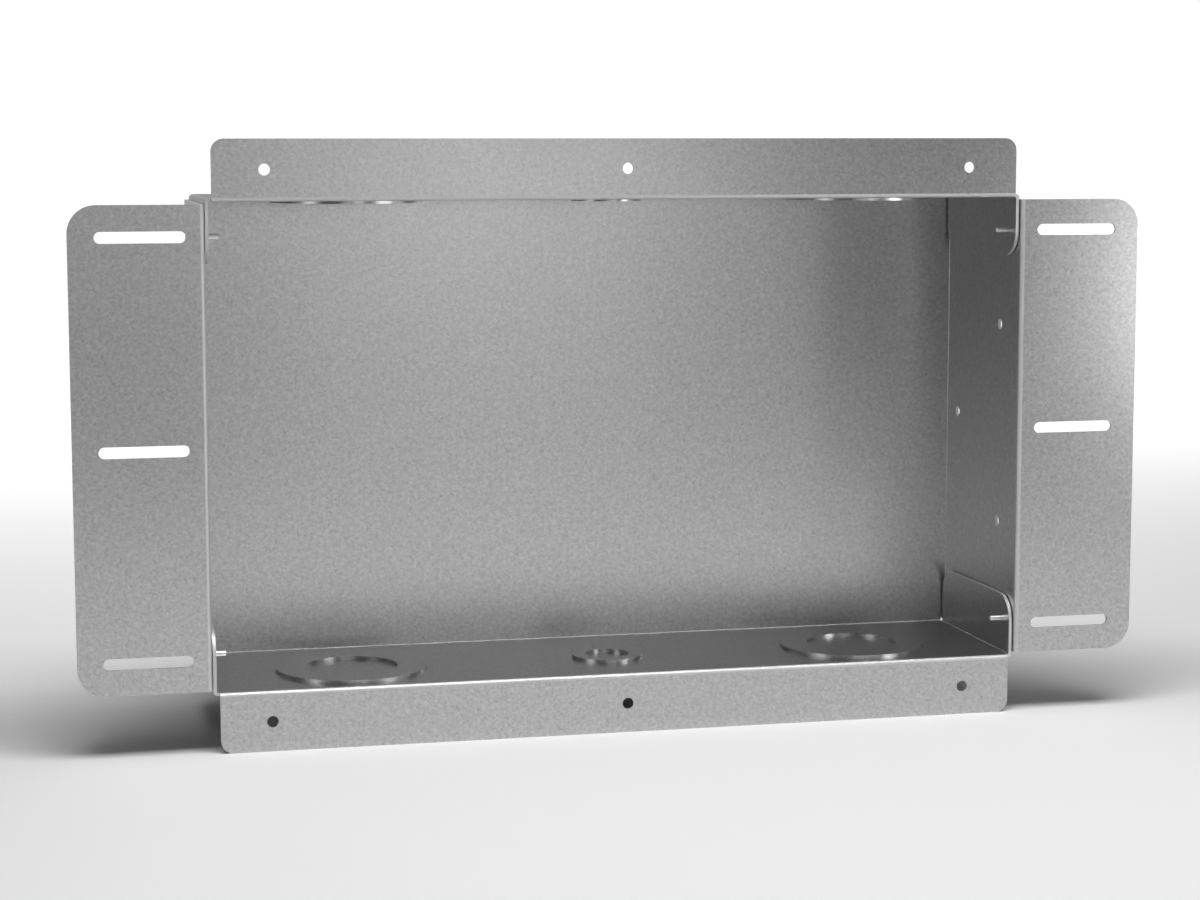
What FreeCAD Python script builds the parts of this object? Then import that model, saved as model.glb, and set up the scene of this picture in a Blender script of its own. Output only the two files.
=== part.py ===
"""Flush back box of folded galvanised steel sheet, for building into a wall.

The box is one cross-shaped blank. Its four walls fold forward from the back panel, and each wall
folds outwards again into a front flange. The top and bottom walls also carry a tab at each end,
which folds in behind the side wall. One pin at each corner goes through side wall and tab.

Frame: millimetres, +X to the right, +Y into the wall, +Z up. The origin is the middle of the
opening, on the front faces of the flanges.
"""
import FreeCAD
import Part
import math
import os

Vector = FreeCAD.Vector

# Sheet
sheet = 1.5
bend_radius = 0.3                 # inside of every fold

# Box
inner_width = 366.4               # between the side walls
inner_height = 210.0              # between the top and bottom walls
depth = 91.8                      # front of the flanges to the back of the box

# Flanges at the left and right, with three fixing slots each
side_flange_width = 56.8          # side wall's inner face to the free edge
side_flange_corner = 12.0
side_end_gap = 1.0                # top or bottom wall's inner face to the side wall's end
slot_length = 38.0
slot_width = 5.0
slot_from_wall = 26.8             # side wall's inner face to the middle of a slot
slot_from_end = 13.6              # flange's end to the outer slots

# Flanges at the top and bottom, with three fixing holes each
long_flange_width = 26.5          # wall's inner face to the free edge
long_flange_corner = 5.5
long_flange_relief = 0.9          # how far the flange ends short of the tab's fold
flange_hole = 5.0
flange_hole_from_wall = 13.5
flange_hole_from_end = 22.3

# Corner tabs
tab_gap = 0.4                     # tab to the side wall
tab_length = 26.5                 # wall's inner face to the tab's free edge
tab_corner = 12.0
tab_setback = 2.3                 # front of the flanges to the tab
tab_back_gap = 1.6                # tab to the back panel

# Knock-outs in the top and bottom walls: a ring pushed inwards round a disc
knockout_web = 0.15               # uncut metal that still holds the ring
knockout_from_wall = 65.2         # side wall's inner face to the middle of a large one
knockout_front_margin = 7.4       # front of the flanges to the rim of a large one
large_ring = 67.5
large_disc = 41.5
small_ring = 32.5
small_disc = 20.0

# Holes in the side walls
side_hole = 5.0
front_side_hole_setback = 24.2
front_side_hole_spacing = 92.0
back_side_hole_setback = 76.8

# Corner pins
pin_diameter = 2.5
pin_reach = 5.3                   # how far the pin stands out of the tab
pin_chamfer = 0.4
pin_head_diameter = 4.0
pin_head_thickness = 0.8
pin_clearance = 0.1               # round the pin in the tab's hole
pin_setback = 13.0                # front of the flanges to the pin
pin_from_wall = 15.0              # top or bottom wall's inner face to the pin

# Sizes that follow
outer_bend = bend_radius + sheet
wall_x = inner_width / 2
wall_z = inner_height / 2
panel_y = depth - sheet
side_end_z = wall_z - side_end_gap
tab_outer_x = wall_x - tab_gap
tab_inner_x = tab_outer_x - sheet
tab_fold_x = tab_outer_x - outer_bend
tab_end_z = wall_z - tab_length
tab_back_y = panel_y - tab_back_gap
side_edge_x = wall_x + side_flange_width
long_edge_z = wall_z + long_flange_width
long_end_x = tab_fold_x - long_flange_relief
knockout_raise = sheet - knockout_web
knockout_y = knockout_front_margin + large_ring / 2
pin_z = wall_z - pin_from_wall

BOTH = (-1, 1)


def unit(vector):
    """The vector's direction."""
    return Vector(vector).normalize()


def offset_corners(corners, normal, distance):
    """The corners of the same path moved to its left, as seen against the normal."""
    sides = [unit(normal.cross(end - start)) for start, end in zip(corners, corners[1:])]
    moved = [corners[0] + sides[0] * distance]
    for corner, before, after in zip(corners[1:-1], sides, sides[1:]):
        moved.append(corner + (before + after) * (distance / (1 + before.dot(after))))
    moved.append(corners[-1] + sides[-1] * distance)
    return moved


def rounded_path(corners, radii):
    """Straight edges joined by tangent arcs, one radius for each corner between the ends."""
    edges = []
    start = corners[0]
    for before, corner, after, radius in zip(corners, corners[1:-1], corners[2:], radii):
        back, ahead = unit(before - corner), unit(after - corner)
        half_angle = back.getAngle(ahead) / 2
        arc_start = corner + back * (radius / math.tan(half_angle))
        arc_end = corner + ahead * (radius / math.tan(half_angle))
        arc_middle = corner + unit(back + ahead) * (radius / math.sin(half_angle) - radius)
        edges.append(Part.LineSegment(start, arc_start).toShape())
        edges.append(Part.Arc(arc_start, arc_middle, arc_end).toShape())
        start = arc_end
    edges.append(Part.LineSegment(start, corners[-1]).toShape())
    return edges


def folded_strip(corners, run):
    """Sheet folded along a path of sharp corners on one face, drawn out along the run.

    The sheet lies to the left of the path, as seen against the run.
    """
    normal = unit(run)
    near_radii, far_radii = [], []
    for before, corner, after in zip(corners, corners[1:], corners[2:]):
        turns_to_sheet = (corner - before).cross(after - corner).dot(normal) > 0
        near_radii.append(outer_bend if turns_to_sheet else bend_radius)
        far_radii.append(bend_radius if turns_to_sheet else outer_bend)
    far_corners = offset_corners(corners, normal, sheet)
    edges = rounded_path(corners, near_radii) + rounded_path(far_corners, far_radii)
    edges.append(Part.LineSegment(corners[0], far_corners[0]).toShape())
    edges.append(Part.LineSegment(corners[-1], far_corners[-1]).toShape())
    section = Part.Face(Part.Wire(Part.__sortEdges__(edges)))
    return section.extrude(run)


def round_corners(shape, direction, places, radius):
    """Rounds the edges that run along a direction through the given places."""
    chosen = []
    for edge in shape.Edges:
        first, last = edge.Vertexes[0].Point, edge.Vertexes[-1].Point
        along = (last - first).cross(direction).Length < 1e-6
        if along and any((place - first).cross(direction).Length < 1e-6 for place in places):
            chosen.append(edge)
    return shape.makeFillet(radius, chosen)


def cylinder(diameter, start, run):
    """A round bar of the given diameter from a point along a vector."""
    return Part.makeCylinder(diameter / 2, run.Length, start, run)


def long_walls():
    """Top flange, top wall, back panel, bottom wall and bottom flange as one folded strip."""
    path = [
        Vector(-tab_fold_x, 0, -long_edge_z),
        Vector(-tab_fold_x, 0, -wall_z),
        Vector(-tab_fold_x, panel_y, -wall_z),
        Vector(-tab_fold_x, panel_y, wall_z),
        Vector(-tab_fold_x, 0, wall_z),
        Vector(-tab_fold_x, 0, long_edge_z),
    ]
    strip = folded_strip(path[::-1], Vector(2 * tab_fold_x, 0, 0))
    for side in BOTH:
        trim = Part.makeBox(
            long_flange_relief, tab_setback, 2 * long_edge_z,
            Vector(long_end_x if side > 0 else -tab_fold_x, 0, -long_edge_z))
        strip = strip.cut(trim)
    places = [Vector(x * long_end_x, 0, z * long_edge_z) for x in BOTH for z in BOTH]
    return round_corners(strip, Vector(0, 1, 0), places, long_flange_corner)


def side_walls():
    """Left flange, left wall, back panel, right wall and right flange as one folded strip."""
    path = [
        Vector(-side_edge_x, 0, -side_end_z),
        Vector(-wall_x, 0, -side_end_z),
        Vector(-wall_x, panel_y, -side_end_z),
        Vector(wall_x, panel_y, -side_end_z),
        Vector(wall_x, 0, -side_end_z),
        Vector(side_edge_x, 0, -side_end_z),
    ]
    strip = folded_strip(path, Vector(0, 0, 2 * side_end_z))
    places = [Vector(x * side_edge_x, 0, z * side_end_z) for x in BOTH for z in BOTH]
    return round_corners(strip, Vector(0, 1, 0), places, side_flange_corner)


def corner_tab(side, level):
    """The tab that folds from one end of the top or bottom wall in behind the side wall."""
    root_x = long_end_x - outer_bend
    path = [
        Vector(side * root_x, tab_setback, level * wall_z),
        Vector(side * tab_inner_x, tab_setback, level * wall_z),
        Vector(side * tab_inner_x, tab_setback, level * tab_end_z),
    ]
    if side * level > 0:
        path.reverse()
    tab = folded_strip(path, Vector(0, tab_back_y - tab_setback, 0))
    places = [Vector(side * tab_inner_x, y, level * tab_end_z) for y in (tab_setback, tab_back_y)]
    return round_corners(tab, Vector(1, 0, 0), places, tab_corner)


def slot_cutter(x, z):
    """A slot with round ends, lying along X, through a flange."""
    half_straight = (slot_length - slot_width) / 2
    through = Vector(0, 3 * sheet, 0)
    ends = [cylinder(slot_width, Vector(x + end * half_straight, -sheet, z), through) for end in BOTH]
    middle = Part.makeBox(
        2 * half_straight, through.Length, slot_width,
        Vector(x - half_straight, -sheet, z - slot_width / 2))
    return middle.multiFuse(ends)


def flange_cutters():
    """Every slot and fixing hole of the four flanges."""
    cutters = []
    slot_x = wall_x + slot_from_wall
    slot_z = side_end_z - slot_from_end
    for side in BOTH:
        cutters += [slot_cutter(side * slot_x, z) for z in (-slot_z, 0, slot_z)]
    hole_x = long_end_x - flange_hole_from_end
    hole_z = wall_z + flange_hole_from_wall
    for level in BOTH:
        for x in (-hole_x, 0, hole_x):
            start = Vector(x, -sheet, level * hole_z)
            cutters.append(cylinder(flange_hole, start, Vector(0, 3 * sheet, 0)))
    return cutters


def side_hole_cutters():
    """Two small holes near the front of each side wall and one near the back."""
    half_spacing = front_side_hole_spacing / 2
    centres = [
        (front_side_hole_setback, -half_spacing),
        (front_side_hole_setback, half_spacing),
        (back_side_hole_setback, 0),
    ]
    return [
        cylinder(side_hole, Vector(side * (wall_x - sheet), y, z), Vector(side * 3 * sheet, 0, 0))
        for side in BOTH for y, z in centres
    ]


def pin_cutters():
    """The stepped hole for each pin in the side wall, and its hole in the tab."""
    cutters = []
    head_seat_x = wall_x + sheet - pin_head_thickness
    for side in BOTH:
        for level in BOTH:
            y, z = pin_setback, level * pin_z
            outwards = Vector(side, 0, 0)
            tab_start = Vector(side * (tab_inner_x - sheet), y, z)
            wall_start = Vector(side * (tab_outer_x + tab_gap / 2), y, z)
            tab_run = outwards * (sheet + sheet + tab_gap / 2)
            cutters.append(cylinder(pin_diameter + 2 * pin_clearance, tab_start, tab_run))
            cutters.append(cylinder(pin_diameter, wall_start, outwards * (2 * sheet)))
            head_start = Vector(side * head_seat_x, y, z)
            cutters.append(cylinder(pin_head_diameter, head_start, outwards * sheet))
    return cutters


def ring(outer, inner, x, bottom_z, height):
    """A flat ring about a knock-out's centre line."""
    start = Vector(x, knockout_y, bottom_z)
    rise = Vector(0, 0, height)
    return cylinder(outer, start, rise).cut(cylinder(inner, start, rise))


def knockouts(level):
    """The raised rings and the hollows behind them, for the top or the bottom wall."""
    large_x = wall_x - knockout_from_wall
    raised, hollows = [], []
    for outer, inner, x in (
            (large_ring, large_disc, -large_x),
            (small_ring, small_disc, 0),
            (large_ring, large_disc, large_x)):
        inside_z = wall_z - knockout_raise
        hollow_z = wall_z + knockout_web
        if level > 0:
            raised.append(ring(outer, inner, x, inside_z, sheet))
            hollows.append(ring(outer, inner, x, hollow_z, sheet))
        else:
            raised.append(ring(outer, inner, x, -inside_z - sheet, sheet))
            hollows.append(ring(outer, inner, x, -hollow_z - sheet, sheet))
    return raised, hollows


def back_box():
    """The whole folded sheet."""
    tabs = [corner_tab(side, level) for side in BOTH for level in BOTH]
    box = long_walls().multiFuse([side_walls()] + tabs)
    top_rings, top_hollows = knockouts(1)
    bottom_rings, bottom_hollows = knockouts(-1)
    box = box.multiFuse(top_rings + bottom_rings)
    cutters = flange_cutters() + side_hole_cutters() + pin_cutters()
    box = box.cut(Part.makeCompound(top_hollows + bottom_hollows + cutters))
    return box.removeSplitter()


def corner_pin(side, level):
    """A pin whose flat head is flush with the side wall's outer face."""
    head_x = wall_x + sheet
    neck_x = head_x - pin_head_thickness
    tip_x = tab_inner_x - pin_reach
    head_radius, radius = pin_head_diameter / 2, pin_diameter / 2
    outline = [
        (head_x, 0), (head_x, head_radius), (neck_x, head_radius), (neck_x, radius),
        (tip_x + pin_chamfer, radius), (tip_x, radius - pin_chamfer), (tip_x, 0), (head_x, 0),
    ]
    centre_z = level * pin_z
    points = [Vector(side * x, pin_setback, centre_z + r) for x, r in outline]
    half_section = Part.Face(Part.makePolygon(points))
    return half_section.revolve(Vector(0, pin_setback, centre_z), Vector(1, 0, 0), 360)


def export(shape, node):
    """Writes one piece and prints its size."""
    solids = shape.Solids
    kept = solids[0] if len(solids) == 1 else Part.makeCompound(solids)
    kept.exportStep(os.path.join("parts", node + ".step"))
    box = kept.BoundBox
    print("%s: %d solid(s), valid %s, %.1f x %.1f x %.1f mm, %.1f cm3" % (
        node, len(solids), kept.isValid(), box.XLength, box.YLength, box.ZLength,
        kept.Volume / 1000))


os.makedirs("parts", exist_ok=True)
export(back_box(), "back_box")
pins = [corner_pin(side, level) for side in BOTH for level in BOTH]
export(Part.makeCompound(pins), "corner_pins")
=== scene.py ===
"""Studio scene of a flush back box: one folded galvanised sheet with a pin at each inner corner."""

import logging
import math
from dataclasses import dataclass
from enum import Enum
from typing import Any, ClassVar

import bmesh
import bpy
from mathutils import Matrix, Vector

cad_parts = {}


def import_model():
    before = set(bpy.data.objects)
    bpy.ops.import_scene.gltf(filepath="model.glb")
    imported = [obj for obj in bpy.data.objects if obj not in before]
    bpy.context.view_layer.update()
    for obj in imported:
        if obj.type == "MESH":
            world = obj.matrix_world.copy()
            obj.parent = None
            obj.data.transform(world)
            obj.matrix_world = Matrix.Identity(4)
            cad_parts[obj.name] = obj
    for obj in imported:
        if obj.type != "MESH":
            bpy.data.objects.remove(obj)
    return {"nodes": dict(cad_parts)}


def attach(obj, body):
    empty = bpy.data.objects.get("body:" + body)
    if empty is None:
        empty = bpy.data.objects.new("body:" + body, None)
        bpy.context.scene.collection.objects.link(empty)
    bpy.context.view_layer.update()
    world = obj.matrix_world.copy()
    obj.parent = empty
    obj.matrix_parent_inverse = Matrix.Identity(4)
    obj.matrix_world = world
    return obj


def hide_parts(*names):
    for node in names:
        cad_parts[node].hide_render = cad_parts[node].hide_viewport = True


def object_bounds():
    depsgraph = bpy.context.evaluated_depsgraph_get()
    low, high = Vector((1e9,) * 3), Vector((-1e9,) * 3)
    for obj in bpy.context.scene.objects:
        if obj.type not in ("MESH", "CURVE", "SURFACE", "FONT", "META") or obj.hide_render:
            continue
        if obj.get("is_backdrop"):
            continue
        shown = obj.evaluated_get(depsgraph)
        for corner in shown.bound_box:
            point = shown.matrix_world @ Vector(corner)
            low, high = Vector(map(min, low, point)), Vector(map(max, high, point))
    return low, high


LOG = logging.getLogger("flush_back_box")
MM = 0.001
SAME_CORNER = 0.002 * MM
WORKED = "worked"

MIX_FACTOR = 0
MIX_NUMBER_A = 2
MIX_NUMBER_B = 3
MIX_COLOUR_A = 6
MIX_COLOUR_B = 7
MIXED_NUMBER = 0
MIXED_COLOUR = 2


class Slot(Enum):
    """Material slot names of the record; no piece in this script takes its finish from them."""

    SHEET = "galvanised_sheet"
    PIN = "pin_steel"


def linear_colour(hex_colour: str) -> tuple[float, float, float, float]:
    """Turn an sRGB hex colour into the linear colour that shaders take.

    Args:
        hex_colour: six hex digits after a hash sign.

    Returns:
        Linear red, green and blue, and an alpha of one.
    """
    values = [int(hex_colour[place:place + 2], 16) / 255 for place in (1, 3, 5)]
    linear = [v / 12.92 if v <= 0.04045 else ((v + 0.055) / 1.055) ** 2.4 for v in values]
    return linear[0], linear[1], linear[2], 1.0


WHITE = linear_colour("#FFFFFF")


def add_node(
    tree: bpy.types.NodeTree,
    kind: str,
    settings: dict[str, Any] | None = None,
    inputs: dict[str | int, Any] | None = None,
) -> bpy.types.Node:
    """Add a node, set its properties, and fill or link its inputs.

    Args:
        tree: the tree that gets the node.
        kind: the node's type name.
        settings: property names and their values.
        inputs: input names or places, with a value or the output socket to link.

    Returns:
        The new node.
    """
    node = tree.nodes.new(kind)
    for name, value in (settings or {}).items():
        setattr(node, name, value)
    for place, value in (inputs or {}).items():
        if isinstance(value, bpy.types.NodeSocket):
            tree.links.new(value, node.inputs[place])
        else:
            node.inputs[place].default_value = value
    return node


def new_material(name: str) -> bpy.types.Material:
    """Make a material with an empty node tree.

    Args:
        name: what the material is.

    Returns:
        The new material.
    """
    material = bpy.data.materials.new(name)
    material.use_nodes = True
    material.node_tree.nodes.clear()
    return material


def link_object(name: str, mesh: bpy.types.Mesh) -> bpy.types.Object:
    """Put a mesh into the scene as an object at the origin.

    Args:
        name: the object's name.
        mesh: the mesh, already in its place.

    Returns:
        The new object.
    """
    piece = bpy.data.objects.new(name, mesh)
    bpy.context.scene.collection.objects.link(piece)
    return piece


def plain_mesh(piece: bpy.types.Object, name: str) -> bpy.types.Mesh:
    """Take the result of a piece's modifiers as a mesh of its own.

    Args:
        piece: the object with its modifiers still on it.
        name: the new mesh's name.

    Returns:
        The evaluated shape as plain mesh data.
    """
    graph = bpy.context.evaluated_depsgraph_get()
    mesh = bpy.data.meshes.new_from_object(
        piece.evaluated_get(graph), preserve_all_data_layers=True, depsgraph=graph)
    mesh.name = name
    return mesh


def smooth_with_sharp_edges(mesh: bpy.types.Mesh, sharp_degrees: float) -> None:
    """Shade a mesh smooth, but keep the edges crisp where its faces turn sharply.

    Args:
        mesh: the mesh to shade.
        sharp_degrees: edges that turn more than this stay crisp.
    """
    work = bmesh.new()
    work.from_mesh(mesh)
    bmesh.ops.remove_doubles(work, verts=work.verts, dist=SAME_CORNER)
    for face in work.faces:
        face.smooth = True
    for edge in work.edges:
        edge.smooth = edge.is_manifold and edge.calc_face_angle() <= math.radians(sharp_degrees)
    work.to_mesh(mesh)
    work.free()


@dataclass(frozen=True)
class GalvanisedSheet:
    """Hot-dip galvanised mild steel, rolled after coating: satin grey zinc with a fine mottled spangle.

    The small crystals differ a little in tone and tilt and carry darker flecks, so plain faces look
    finely grained, and reflections are soft bands, never mirror-like. The outside of a bend is duller
    than the flat faces, and cut edges are pale and dullest, so both catch the light only softly.
    """

    light_crystal_hex: str = "#C9C9C9"
    dark_crystal_hex: str = "#AFAFAF"
    fleck_hex: str = "#8F8F8F"
    roughness: float = 0.29
    roughness_spread: float = 0.012
    crystal_mm: float = 1.7
    fleck_mm: float = 1.1
    cloud_mm: float = 60.0
    crystal_tones: tuple[float, float] = (0.3, 0.7)
    fleck_tones: tuple[float, float] = (0.58, 0.72)
    uneven_tones: tuple[float, float] = (0.25, 0.75)
    fleck_share: float = 0.45
    cloud_share: float = 0.5
    relief: float = 0.15
    relief_mm: float = 0.1
    fleck_relief_share: float = 0.4
    cut_hex: str = "#D4D4D4"
    cut_roughness: float = 0.62

    def material(self) -> bpy.types.Material:
        """Build the material.

        Returns:
            The finished material.
        """
        material = new_material("galvanised_steel_sheet")
        tree = material.node_tree
        place = add_node(tree, "ShaderNodeTexCoord").outputs["Object"]
        crystals = add_node(tree, "ShaderNodeTexNoise", None, {
            "Vector": place, "Scale": 1 / (self.crystal_mm * MM), "Detail": 2.0, "Roughness": 0.6,
            "Distortion": 0.8}).outputs["Fac"]
        fleck_noise = add_node(tree, "ShaderNodeTexNoise", None, {
            "Vector": place, "Scale": 1 / (self.fleck_mm * MM), "Detail": 1.0, "Roughness": 0.5,
            "Distortion": 1.5}).outputs["Fac"]
        cloud = add_node(tree, "ShaderNodeTexNoise", None, {
            "Vector": place, "Scale": 1 / (self.cloud_mm * MM), "Detail": 2.0,
            "Roughness": 0.5}).outputs["Fac"]
        tone = add_node(tree, "ShaderNodeMapRange", None, {
            "Value": crystals, "From Min": self.crystal_tones[0],
            "From Max": self.crystal_tones[1]}).outputs["Result"]
        flecks = add_node(tree, "ShaderNodeMapRange", None, {
            "Value": fleck_noise, "From Min": self.fleck_tones[0], "From Max": self.fleck_tones[1],
            "To Max": self.fleck_share}).outputs["Result"]
        plain = add_node(tree, "ShaderNodeMix", {"data_type": "RGBA"}, {
            MIX_FACTOR: tone, MIX_COLOUR_A: linear_colour(self.dark_crystal_hex),
            MIX_COLOUR_B: linear_colour(self.light_crystal_hex)}).outputs[MIXED_COLOUR]
        skin_colour = add_node(tree, "ShaderNodeMix", {"data_type": "RGBA"}, {
            MIX_FACTOR: flecks, MIX_COLOUR_A: plain,
            MIX_COLOUR_B: linear_colour(self.fleck_hex)}).outputs[MIXED_COLOUR]
        worked = add_node(tree, "ShaderNodeAttribute", {"attribute_name": WORKED}).outputs["Fac"]
        colour = add_node(tree, "ShaderNodeMix", {"data_type": "RGBA"}, {
            MIX_FACTOR: worked, MIX_COLOUR_A: skin_colour,
            MIX_COLOUR_B: linear_colour(self.cut_hex)}).outputs[MIXED_COLOUR]
        unevenness = add_node(tree, "ShaderNodeMix", None, {
            MIX_FACTOR: self.cloud_share, MIX_NUMBER_A: tone,
            MIX_NUMBER_B: cloud}).outputs[MIXED_NUMBER]
        skin_roughness = add_node(tree, "ShaderNodeMapRange", None, {
            "Value": unevenness, "From Min": self.uneven_tones[0], "From Max": self.uneven_tones[1],
            "To Min": self.roughness - self.roughness_spread,
            "To Max": self.roughness + self.roughness_spread}).outputs["Result"]
        roughness = add_node(tree, "ShaderNodeMix", None, {
            MIX_FACTOR: worked, MIX_NUMBER_A: skin_roughness,
            MIX_NUMBER_B: self.cut_roughness}).outputs[MIXED_NUMBER]
        height = add_node(tree, "ShaderNodeMix", None, {
            MIX_FACTOR: self.fleck_relief_share, MIX_NUMBER_A: crystals,
            MIX_NUMBER_B: fleck_noise}).outputs[MIXED_NUMBER]
        relief = add_node(tree, "ShaderNodeBump", None, {
            "Strength": self.relief, "Distance": self.relief_mm * MM, "Height": height}).outputs["Normal"]
        skin = add_node(tree, "ShaderNodeBsdfPrincipled", None, {
            "Base Color": colour, "Metallic": 1.0, "Roughness": roughness, "Normal": relief})
        add_node(tree, "ShaderNodeOutputMaterial", None, {"Surface": skin.outputs["BSDF"]})
        return material


@dataclass(frozen=True)
class TurnedPinSteel:
    """Zinc-plated steel wire cut and chamfered: paler than the sheet and satin.

    Light runs along it in bands with a darker line between, and rings from the cutting tool break the
    bands a little. The rings are drawn coarser than real ones, so that they show.
    """

    colour_hex: str = "#F0F0EF"
    shade_hex: str = "#DEDEDD"
    roughness: float = 0.38
    ring_mm: float = 0.35
    relief: float = 0.15
    relief_mm: float = 0.02

    def material(self) -> bpy.types.Material:
        """Build the material.

        Returns:
            The finished material.
        """
        material = new_material("zinc_plated_pin_steel")
        tree = material.node_tree
        place = add_node(tree, "ShaderNodeTexCoord").outputs["Object"]
        rings = add_node(tree, "ShaderNodeTexWave", {"wave_type": "BANDS", "bands_direction": "X"}, {
            "Vector": place, "Scale": 1 / (self.ring_mm * MM), "Distortion": 1.5, "Detail": 2.0})
        colour = add_node(tree, "ShaderNodeMix", {"data_type": "RGBA"}, {
            MIX_FACTOR: rings.outputs["Fac"], MIX_COLOUR_A: linear_colour(self.shade_hex),
            MIX_COLOUR_B: linear_colour(self.colour_hex)}).outputs[MIXED_COLOUR]
        relief = add_node(tree, "ShaderNodeBump", None, {
            "Strength": self.relief, "Distance": self.relief_mm * MM, "Height": rings.outputs["Fac"]})
        skin = add_node(tree, "ShaderNodeBsdfPrincipled", None, {
            "Base Color": colour, "Metallic": 1.0, "Roughness": self.roughness,
            "Normal": relief.outputs["Normal"]})
        add_node(tree, "ShaderNodeOutputMaterial", None, {"Surface": skin.outputs["BSDF"]})
        return material


@dataclass(frozen=True)
class FloorPaper:
    """Matt white studio paper: no gloss, and a faint cloudiness in its white.

    It brightens towards the back by painted light: the paper itself emits light, gently from just
    behind the opening, then steadily further off, standing in for light that falls on the floor
    there. To the eye its front and side edges run out into the white around it.
    """

    light_hex: str = "#F8F8F8"
    shade_hex: str = "#F5F5F5"
    cloud_mm: float = 400.0
    near_from_mm: float = 60.0
    near_to_mm: float = 180.0
    near_painted_light: float = 0.14
    far_to_mm: float = 1150.0
    far_painted_light: float = 0.9
    front_edge_mm: tuple[float, float] = (-450.0, -900.0)
    side_edge_mm: tuple[float, float] = (1500.0, 2600.0)

    def material(self) -> bpy.types.Material:
        """Build the material.

        Returns:
            The finished material.
        """
        material = new_material("white_studio_paper")
        tree = material.node_tree
        place = add_node(tree, "ShaderNodeTexCoord").outputs["Object"]
        cloud = add_node(tree, "ShaderNodeTexNoise", None, {
            "Vector": place, "Scale": 1 / (self.cloud_mm * MM), "Detail": 1.0})
        colour = add_node(tree, "ShaderNodeMix", {"data_type": "RGBA"}, {
            MIX_FACTOR: cloud.outputs["Fac"], MIX_COLOUR_A: linear_colour(self.shade_hex),
            MIX_COLOUR_B: linear_colour(self.light_hex)}).outputs[MIXED_COLOUR]
        along = add_node(tree, "ShaderNodeSeparateXYZ", None, {0: place}).outputs
        depth = along["Y"]
        # Painted light: the paper emits light that rises with depth behind the opening, in place of light
        # falling on the floor.
        near = add_node(tree, "ShaderNodeMapRange", {"interpolation_type": "SMOOTHSTEP"}, {
            "Value": depth, "From Min": self.near_from_mm * MM, "From Max": self.near_to_mm * MM,
            "To Max": self.near_painted_light}).outputs["Result"]
        far = add_node(tree, "ShaderNodeMapRange", None, {
            "Value": depth, "From Min": self.near_to_mm * MM, "From Max": self.far_to_mm * MM,
            "To Max": self.far_painted_light}).outputs["Result"]
        painted_floor_light = add_node(tree, "ShaderNodeMath", {"operation": "ADD"}, {0: near, 1: far}).outputs[0]
        front_edge = add_node(tree, "ShaderNodeMapRange", None, {
            "Value": depth, "From Min": self.front_edge_mm[0] * MM,
            "From Max": self.front_edge_mm[1] * MM}).outputs["Result"]
        aside = add_node(tree, "ShaderNodeMath", {"operation": "ABSOLUTE"}, {0: along["X"]}).outputs[0]
        side_edge = add_node(tree, "ShaderNodeMapRange", None, {
            "Value": aside, "From Min": self.side_edge_mm[0] * MM,
            "From Max": self.side_edge_mm[1] * MM}).outputs["Result"]
        edge = add_node(tree, "ShaderNodeMath", {"operation": "MAXIMUM"}, {
            0: front_edge, 1: side_edge}).outputs[0]
        to_the_eye = add_node(tree, "ShaderNodeLightPath").outputs["Is Camera Ray"]
        # The painted light from depth, plus white at the edges for camera rays only, drives the paper's
        # emission.
        glow = add_node(tree, "ShaderNodeMath", {"operation": "MULTIPLY_ADD"}, {
            0: edge, 1: to_the_eye, 2: painted_floor_light}).outputs[0]
        skin = add_node(tree, "ShaderNodeBsdfPrincipled", None, {
            "Base Color": colour, "Roughness": 1.0, "Specular IOR Level": 0.0,
            "Emission Color": WHITE, "Emission Strength": glow})
        add_node(tree, "ShaderNodeOutputMaterial", None, {"Surface": skin.outputs["BSDF"]})
        return material


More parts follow.
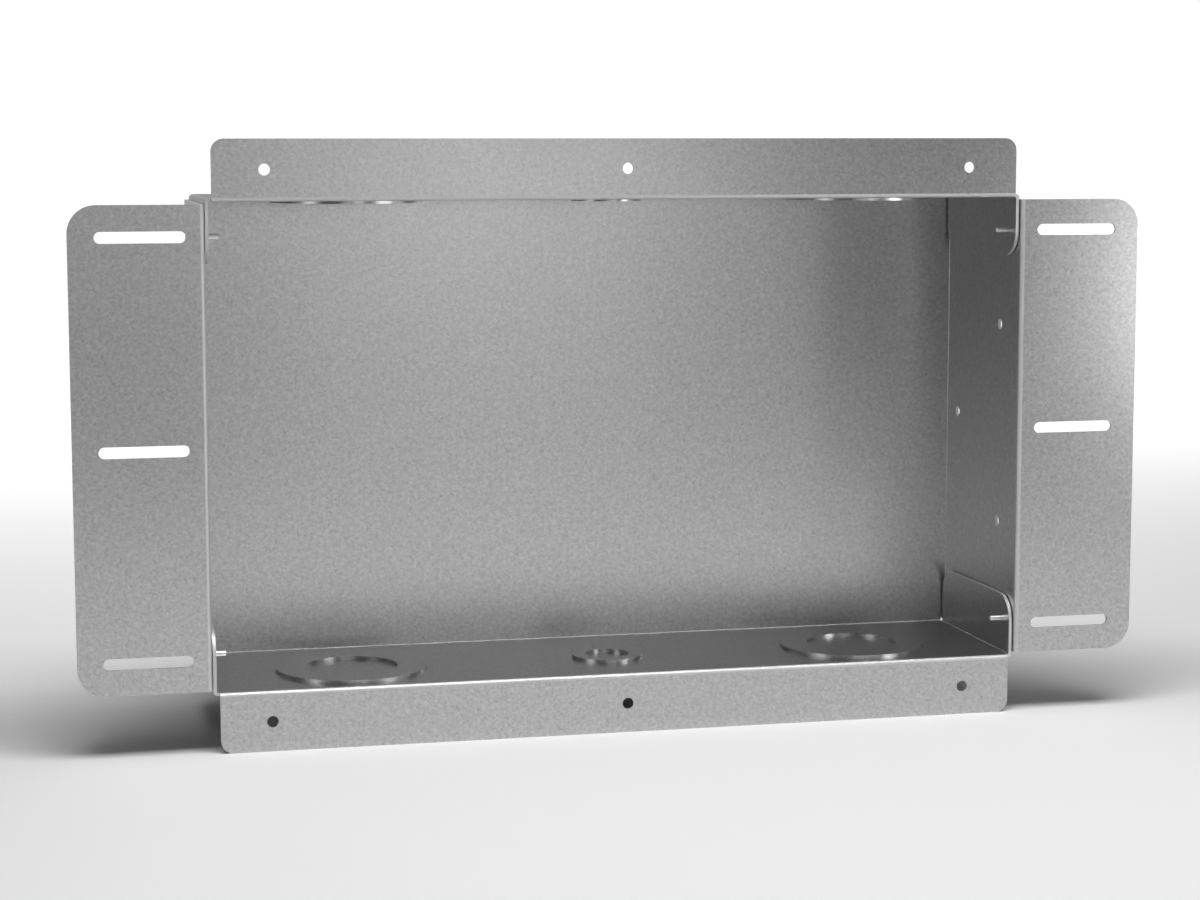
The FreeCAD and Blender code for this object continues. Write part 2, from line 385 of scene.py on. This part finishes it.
@dataclass
class FoldedSheet:
    """The whole box of one folded sheet, with soft light across its folds and crisp cut edges."""

    node: str = "back_box"
    sharp_degrees: float = 32.0
    area_weight: int = 100
    cut_widths: tuple[float, float] = (1.42 * MM, 1.6 * MM)
    flat_share: float = 0.999
    stretched_mark: float = 0.8
    cut_mark: float = 1.0

    def mark_worked_metal(self, mesh: bpy.types.Mesh) -> None:
        """Note on each face whether the metal was left as it was, stretched by a bend or cut.

        A region between crisp edges that is as wide as the sheet is thick is a cut edge; the half-sheared
        steps of the knock-outs are narrower and stay bright. Elsewhere a face off the box's main
        directions is a bend, and a convex one is its stretched outside.

        Args:
            mesh: the sheet's mesh, with its crisp edges set.
        """
        work = bmesh.new()
        work.from_mesh(mesh)
        mark = work.faces.layers.float.new(WORKED)
        done: set[bmesh.types.BMFace] = set()
        for start in work.faces:
            if start in done:
                continue
            done.add(start)
            region, waiting, rim = [], [start], 0.0
            while waiting:
                face = waiting.pop()
                region.append(face)
                rim += sum(edge.calc_length() for edge in face.edges if not edge.smooth)
                beside = {other for edge in face.edges if edge.smooth for other in edge.link_faces} - done
                done |= beside
                waiting.extend(beside)
            width = 2 * sum(face.calc_area() for face in region) / rim
            sheared = width <= self.cut_widths[0]
            cut = not sheared and width < self.cut_widths[1]
            for face in region:
                bent = not sheared and max(abs(part) for part in face.normal) < self.flat_share
                stretched = bent and any(edge.smooth and edge.is_convex for edge in face.edges)
                face[mark] = self.cut_mark if cut else self.stretched_mark * stretched
        work.to_mesh(mesh)
        work.free()

    def build(self, shape: bpy.types.Object, finish: GalvanisedSheet) -> bpy.types.Object:
        """Make the sheet from the frame's own shape and dress it.

        Args:
            shape: the frame's object of the folded sheet.
            finish: the sheet's finish.

        Returns:
            The dressed sheet.
        """
        mesh = shape.data.copy()
        smooth_with_sharp_edges(mesh, self.sharp_degrees)
        self.mark_worked_metal(mesh)
        mesh.materials.clear()
        mesh.materials.append(finish.material())
        mesh.polygons.foreach_set("material_index", [0] * len(mesh.polygons))
        draft = link_object("folded_sheet_draft", mesh)
        flat_faces_flat = draft.modifiers.new("flat_faces_flat", "WEIGHTED_NORMAL")
        flat_faces_flat.mode = "FACE_AREA"
        flat_faces_flat.weight = self.area_weight
        flat_faces_flat.keep_sharp = True
        sheet = link_object("folded_sheet", plain_mesh(draft, "folded_sheet"))
        bpy.data.objects.remove(draft)
        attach(sheet, "root")
        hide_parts(self.node)
        return sheet


@dataclass
class CornerPins:
    """The four pins through side walls and corner tabs, made as one repeated shape.

    Sizes along a pin start at the tab's inner face: reach and chamfer towards the middle of the box, neck
    and head towards its outside.
    """

    node: str = "corner_pins"
    shank_radius: float = 1.25 * MM
    reach: float = 5.3 * MM
    chamfer: float = 0.4 * MM
    neck: float = 2.6 * MM
    head: float = 3.4 * MM
    head_radius: float = 2.0 * MM
    head_step: float = 0.01 * MM
    half_width: float = 181.3 * MM
    setback: float = 13.0 * MM
    half_height: float = 90.0 * MM
    sides: int = 40
    sharp_degrees: float = 25.0

    def input_sizes(self) -> dict[str, float]:
        """Gather the pins' sizes under the names of the node tree's inputs.

        Returns:
            Each input's name with its size.
        """
        return {
            "Shank Radius": self.shank_radius, "Reach": self.reach, "Chamfer": self.chamfer,
            "Neck": self.neck, "Head": self.head, "Head Radius": self.head_radius,
            "Half Width": self.half_width, "Setback": self.setback, "Half Height": self.half_height,
        }

    def one_pin(self, tree: bpy.types.NodeTree, given: bpy.types.NodeOutputs) -> bpy.types.NodeSocket:
        """Turn a pin's outline round its axis, with the tip towards the left.

        Args:
            tree: the tree that gets the nodes.
            given: the tree's named sizes.

        Returns:
            The pin's shape.
        """
        tip = add_node(tree, "ShaderNodeMath", {"operation": "MULTIPLY"}, {
            0: given["Reach"], 1: -1.0}).outputs[0]
        chamfer_end = add_node(tree, "ShaderNodeMath", {"operation": "ADD"}, {
            0: tip, 1: given["Chamfer"]}).outputs[0]
        step = add_node(tree, "ShaderNodeMath", {"operation": "ADD"}, {
            0: given["Neck"], 1: self.head_step}).outputs[0]
        tip_radius = add_node(tree, "ShaderNodeMath", {"operation": "SUBTRACT"}, {
            0: given["Shank Radius"], 1: given["Chamfer"]}).outputs[0]
        outline = (
            (tip, tip_radius), (chamfer_end, given["Shank Radius"]),
            (given["Neck"], given["Shank Radius"]), (step, given["Head Radius"]),
            (given["Head"], given["Head Radius"]))
        point = add_node(tree, "GeometryNodeInputIndex").outputs[0]
        chosen = []
        for values in zip(*outline):
            choice = add_node(tree, "GeometryNodeIndexSwitch", {"data_type": "FLOAT"}, {"Index": point})
            while len(choice.index_switch_items) < len(values):
                choice.index_switch_items.new()
            for number, value in enumerate(values):
                tree.links.new(value, choice.inputs[number + 1])
            chosen.append(choice.outputs[0])
        along, radius = chosen
        line = add_node(tree, "GeometryNodeMeshLine", None, {"Count": len(outline)})
        spread = add_node(tree, "ShaderNodeCombineXYZ", None, {"X": along})
        placed = add_node(tree, "GeometryNodeSetPosition", None, {
            "Geometry": line.outputs[0], "Position": spread.outputs[0]})
        axis = add_node(tree, "GeometryNodeMeshToCurve", None, {0: placed.outputs[0]})
        sized = add_node(tree, "GeometryNodeSetCurveRadius", None, {
            "Curve": axis.outputs[0], "Radius": radius})
        rim = add_node(tree, "GeometryNodeCurvePrimitiveCircle", None, {
            "Resolution": self.sides, "Radius": 1.0})
        pin = add_node(tree, "GeometryNodeCurveToMesh", None, {
            "Curve": sized.outputs[0], "Profile Curve": rim.outputs[0], "Fill Caps": True,
            "Scale": add_node(tree, "GeometryNodeInputRadius").outputs[0]})
        return pin.outputs[0]

    def pin_places(self, tree: bpy.types.NodeTree, given: bpy.types.NodeOutputs) -> bpy.types.NodeSocket:
        """Set a point at each inner corner, where a pin leaves its tab.

        Args:
            tree: the tree that gets the nodes.
            given: the tree's named sizes.

        Returns:
            The four points.
        """
        width = add_node(tree, "ShaderNodeMath", {"operation": "MULTIPLY"}, {
            0: given["Half Width"], 1: 2.0}).outputs[0]
        height = add_node(tree, "ShaderNodeMath", {"operation": "MULTIPLY"}, {
            0: given["Half Height"], 1: 2.0}).outputs[0]
        corners = add_node(tree, "GeometryNodeMeshGrid", None, {
            "Size X": width, "Size Y": height, "Vertices X": 2, "Vertices Y": 2})
        shift = add_node(tree, "ShaderNodeCombineXYZ", None, {"Y": given["Setback"]})
        upright = add_node(tree, "GeometryNodeTransform", None, {
            "Geometry": corners.outputs[0], "Translation": shift.outputs[0],
            "Rotation": (math.pi / 2, 0.0, 0.0)})
        return upright.outputs[0]

    def tree(self, material: bpy.types.Material) -> bpy.types.NodeTree:
        """Build the node tree that draws one pin and repeats it at the four corners.

        Args:
            material: the pins' material.

        Returns:
            The tree, with its sizes as named inputs.
        """
        tree = bpy.data.node_groups.new("corner_pins", "GeometryNodeTree")
        tree.interface.new_socket("Geometry", in_out="OUTPUT", socket_type="NodeSocketGeometry")
        for name in self.input_sizes():
            tree.interface.new_socket(name, in_out="INPUT", socket_type="NodeSocketFloat")
        given = add_node(tree, "NodeGroupInput").outputs
        where = add_node(tree, "GeometryNodeInputPosition").outputs[0]
        across = add_node(tree, "ShaderNodeSeparateXYZ", None, {0: where}).outputs["X"]
        on_left = add_node(tree, "ShaderNodeMath", {"operation": "LESS_THAN"}, {0: across, 1: 0.0})
        turn = add_node(tree, "ShaderNodeMath", {"operation": "MULTIPLY"}, {
            0: on_left.outputs[0], 1: math.pi}).outputs[0]
        heading = add_node(tree, "ShaderNodeCombineXYZ", None, {"Z": turn})
        copies = add_node(tree, "GeometryNodeInstanceOnPoints", None, {
            "Points": self.pin_places(tree, given), "Instance": self.one_pin(tree, given),
            "Rotation": heading.outputs[0]})
        solid = add_node(tree, "GeometryNodeRealizeInstances", None, {0: copies.outputs[0]})
        dressed = add_node(tree, "GeometryNodeSetMaterial", None, {
            "Geometry": solid.outputs[0], "Material": material})
        add_node(tree, "NodeGroupOutput", None, {0: dressed.outputs[0]})
        return tree

    def build(self, finish: TurnedPinSteel) -> bpy.types.Object:
        """Make the pins and dress them.

        Args:
            finish: the pins' finish.

        Returns:
            The four pins as one piece.
        """
        draft = link_object("corner_pins_draft", bpy.data.meshes.new("corner_pins_draft"))
        drawing = draft.modifiers.new("pins", "NODES")
        drawing.node_group = self.tree(finish.material())
        sizes = self.input_sizes()
        for socket in drawing.node_group.interface.items_tree:
            if socket.in_out == "INPUT":
                drawing[socket.identifier] = sizes[socket.name]
        mesh = plain_mesh(draft, "drawn_corner_pins")
        bpy.data.objects.remove(draft)
        smooth_with_sharp_edges(mesh, self.sharp_degrees)
        pins = link_object("drawn_corner_pins", mesh)
        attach(pins, "root")
        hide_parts(self.node)
        return pins


@dataclass(frozen=True)
class SoftBox:
    """A rectangular studio light that faces a point, with its places and sizes in metres."""

    front_distance: ClassVar[float] = 2.4

    name: str
    place: tuple[float, float, float]
    aim: tuple[float, float, float]
    width: float
    height: float
    watts: float

    @classmethod
    def in_front(
        cls, name: str, bearing: float, rise: float, width: float, height: float, watts: float
    ) -> "SoftBox":
        """Place a light in front of the box, facing it.

        Args:
            name: the light's name.
            bearing: degrees to the right of straight ahead of the opening.
            rise: degrees above the box's middle.
            width: the light's width in metres.
            height: the light's height in metres.
            watts: the light's power.

        Returns:
            The light, not yet built.
        """
        turn = math.radians(bearing)
        lift = math.radians(rise)
        place = (
            cls.front_distance * math.cos(lift) * math.sin(turn),
            -cls.front_distance * math.cos(lift) * math.cos(turn),
            cls.front_distance * math.sin(lift))
        return cls(name, place, (0.0, 0.0, 0.0), width, height, watts)

    def build(self) -> None:
        """Hang the light and turn it towards what it faces."""
        light = bpy.data.lights.new(self.name, "AREA")
        light.shape = "RECTANGLE"
        light.size = self.width
        light.size_y = self.height
        light.energy = self.watts
        lamp = bpy.data.objects.new(self.name, light)
        bpy.context.scene.collection.objects.link(lamp)
        lamp.location = self.place
        heading = Vector(self.aim) - Vector(self.place)
        lamp.rotation_euler = heading.to_track_quat("-Z", "Y").to_euler()


@dataclass
class Studio:
    """Pale paper floor under the box, white surroundings and soft lights, in metres and watts."""

    floor_half_width: float = 4.0
    floor_front: float = 0.95
    floor_back: float = 6.0
    rear_gleam: float = 0.4
    rear_span: tuple[float, float] = (0.5, 0.9)
    upper_gleam: float = 0.28
    upper_span: tuple[float, float] = (0.25, 0.8)
    white_to_the_eye: float = 1.05
    lights: tuple[SoftBox, ...] = (
        SoftBox("overhead_light", (0.0, -0.33, 0.95), (0.0, -0.2, 0.0), 0.9, 0.5, 11.0),
        SoftBox("right_near_light", (0.48, -0.34, 0.05), (0.21, 0.0, 0.05), 0.12, 0.15, 0.21),
        SoftBox.in_front("right_key_light", 44, 3, 0.5, 0.8, 5.0),
        SoftBox.in_front("right_side_light", 86, 3, 1.0, 0.8, 4.5),
        SoftBox.in_front("left_side_light", -68, 4, 1.0, 0.8, 6.0),
        SoftBox.in_front("front_fill_light_a", -9, 2, 0.4, 0.5, 0.75),
        SoftBox.in_front("front_fill_light_b", 6, 1, 0.3, 0.4, 0.7),
        SoftBox.in_front("front_fill_light_c", 13, 1, 0.3, 0.4, 0.85),
        SoftBox.in_front("front_high_light", 5, 10, 0.9, 0.5, 0.65),
        SoftBox.in_front("front_top_light", 0, 33, 1.6, 1.0, 0.8),
    )

    def build(self, floor_height: float, paper: FloorPaper) -> None:
        """Lay the floor, set the surroundings and hang the lights.

        Args:
            floor_height: the box's lowest point.
            paper: the floor's finish.
        """
        left, right = -self.floor_half_width, self.floor_half_width
        front, back = -self.floor_front, self.floor_back
        corners = [(left, front), (right, front), (right, back), (left, back)]
        mesh = bpy.data.meshes.new("floor")
        mesh.from_pydata([(x, y, floor_height) for x, y in corners], [], [(0, 1, 2, 3)])
        mesh.materials.append(paper.material())
        link_object("floor", mesh)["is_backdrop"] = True
        self.surroundings()
        for light in self.lights:
            light.build()

    def surroundings(self) -> None:
        """Set surroundings that are white to the eye, with a pale rear and top for reflections only."""
        world = bpy.data.worlds.new("studio_surroundings")
        world.use_nodes = True
        world.node_tree.nodes.clear()
        tree = world.node_tree
        ray = add_node(tree, "ShaderNodeLightPath").outputs
        heading = add_node(tree, "ShaderNodeTexCoord").outputs["Generated"]
        towards = add_node(tree, "ShaderNodeSeparateXYZ", None, {0: heading}).outputs
        rear = add_node(tree, "ShaderNodeMapRange", None, {
            "Value": towards["Y"], "From Min": self.rear_span[0], "From Max": self.rear_span[1],
            "To Max": self.rear_gleam})
        upper = add_node(tree, "ShaderNodeMapRange", None, {
            "Value": towards["Z"], "From Min": self.upper_span[0], "From Max": self.upper_span[1],
            "To Max": self.upper_gleam})
        gleam = add_node(tree, "ShaderNodeMath", {"operation": "MAXIMUM"}, {
            0: rear.outputs["Result"], 1: upper.outputs["Result"]})
        reflected = add_node(tree, "ShaderNodeMath", {"operation": "MULTIPLY"}, {
            0: gleam.outputs[0], 1: ray["Is Glossy Ray"]})
        dim = add_node(tree, "ShaderNodeBackground", None, {
            "Color": WHITE, "Strength": reflected.outputs[0]})
        seen = add_node(tree, "ShaderNodeBackground", None, {
            "Color": WHITE, "Strength": self.white_to_the_eye})
        both = add_node(tree, "ShaderNodeMixShader", None, {
            0: ray["Is Camera Ray"], 1: dim.outputs[0], 2: seen.outputs[0]})
        add_node(tree, "ShaderNodeOutputWorld", None, {"Surface": both.outputs[0]})
        bpy.context.scene.world = world


@dataclass
class PhotoCamera:
    """Camera at the photograph's place, turn and lens, in metres and radians."""

    place: tuple[float, float, float] = (-0.27371, -1.11429, 0.13236)
    turn: float = 0.2364
    tilt: float = -0.1162
    roll: float = 0.0003
    focal_pixels: float = 2624.26
    centre_pixels: tuple[float, float] = (616.63, 442.61)
    frame_pixels: tuple[int, int] = (1200, 900)
    sensor_mm: float = 36.0
    clip: tuple[float, float] = (0.01, 50.0)

    def build(self) -> None:
        """Set up the camera and make it the scene's own."""
        wide, high = self.frame_pixels
        lens = bpy.data.cameras.new("photo_camera")
        lens.sensor_fit = "HORIZONTAL"
        lens.sensor_width = self.sensor_mm
        lens.lens = self.focal_pixels / wide * self.sensor_mm
        lens.shift_x = (wide / 2 - self.centre_pixels[0]) / wide
        lens.shift_y = (self.centre_pixels[1] - high / 2) / wide
        lens.clip_start, lens.clip_end = self.clip
        camera = bpy.data.objects.new("photo_camera", lens)
        bpy.context.scene.collection.objects.link(camera)
        ahead = Vector((
            math.sin(self.turn) * math.cos(self.tilt),
            math.cos(self.turn) * math.cos(self.tilt),
            math.sin(self.tilt)))
        right = Vector((math.cos(self.turn), -math.sin(self.turn), 0.0))
        right.rotate(Matrix.Rotation(self.roll, 3, ahead))
        up = right.cross(ahead)
        turned = Matrix((right, up, -ahead)).transposed().to_4x4()
        camera.matrix_world = Matrix.Translation(self.place) @ turned
        bpy.context.scene.camera = camera


def main() -> None:
    """Build the studio, the camera and the box's two pieces, in order, and note both sizes."""
    logging.basicConfig(level=logging.INFO, format="%(name)s: %(message)s")
    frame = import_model()
    cad_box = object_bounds()
    scene = bpy.context.scene
    scene.view_settings.view_transform = "Standard"
    scene.view_settings.look = "None"
    PhotoCamera().build()
    Studio().build(cad_box[0][2], FloorPaper())
    LOG.info("studio and camera are set")
    sheet = FoldedSheet().build(frame["nodes"]["back_box"], GalvanisedSheet())
    LOG.info("%s: %d faces", sheet.name, len(sheet.data.polygons))
    pins = CornerPins().build(TurnedPinSteel())
    LOG.info("%s: %d faces", pins.name, len(pins.data.polygons))


if __name__ == "__main__":
    main()
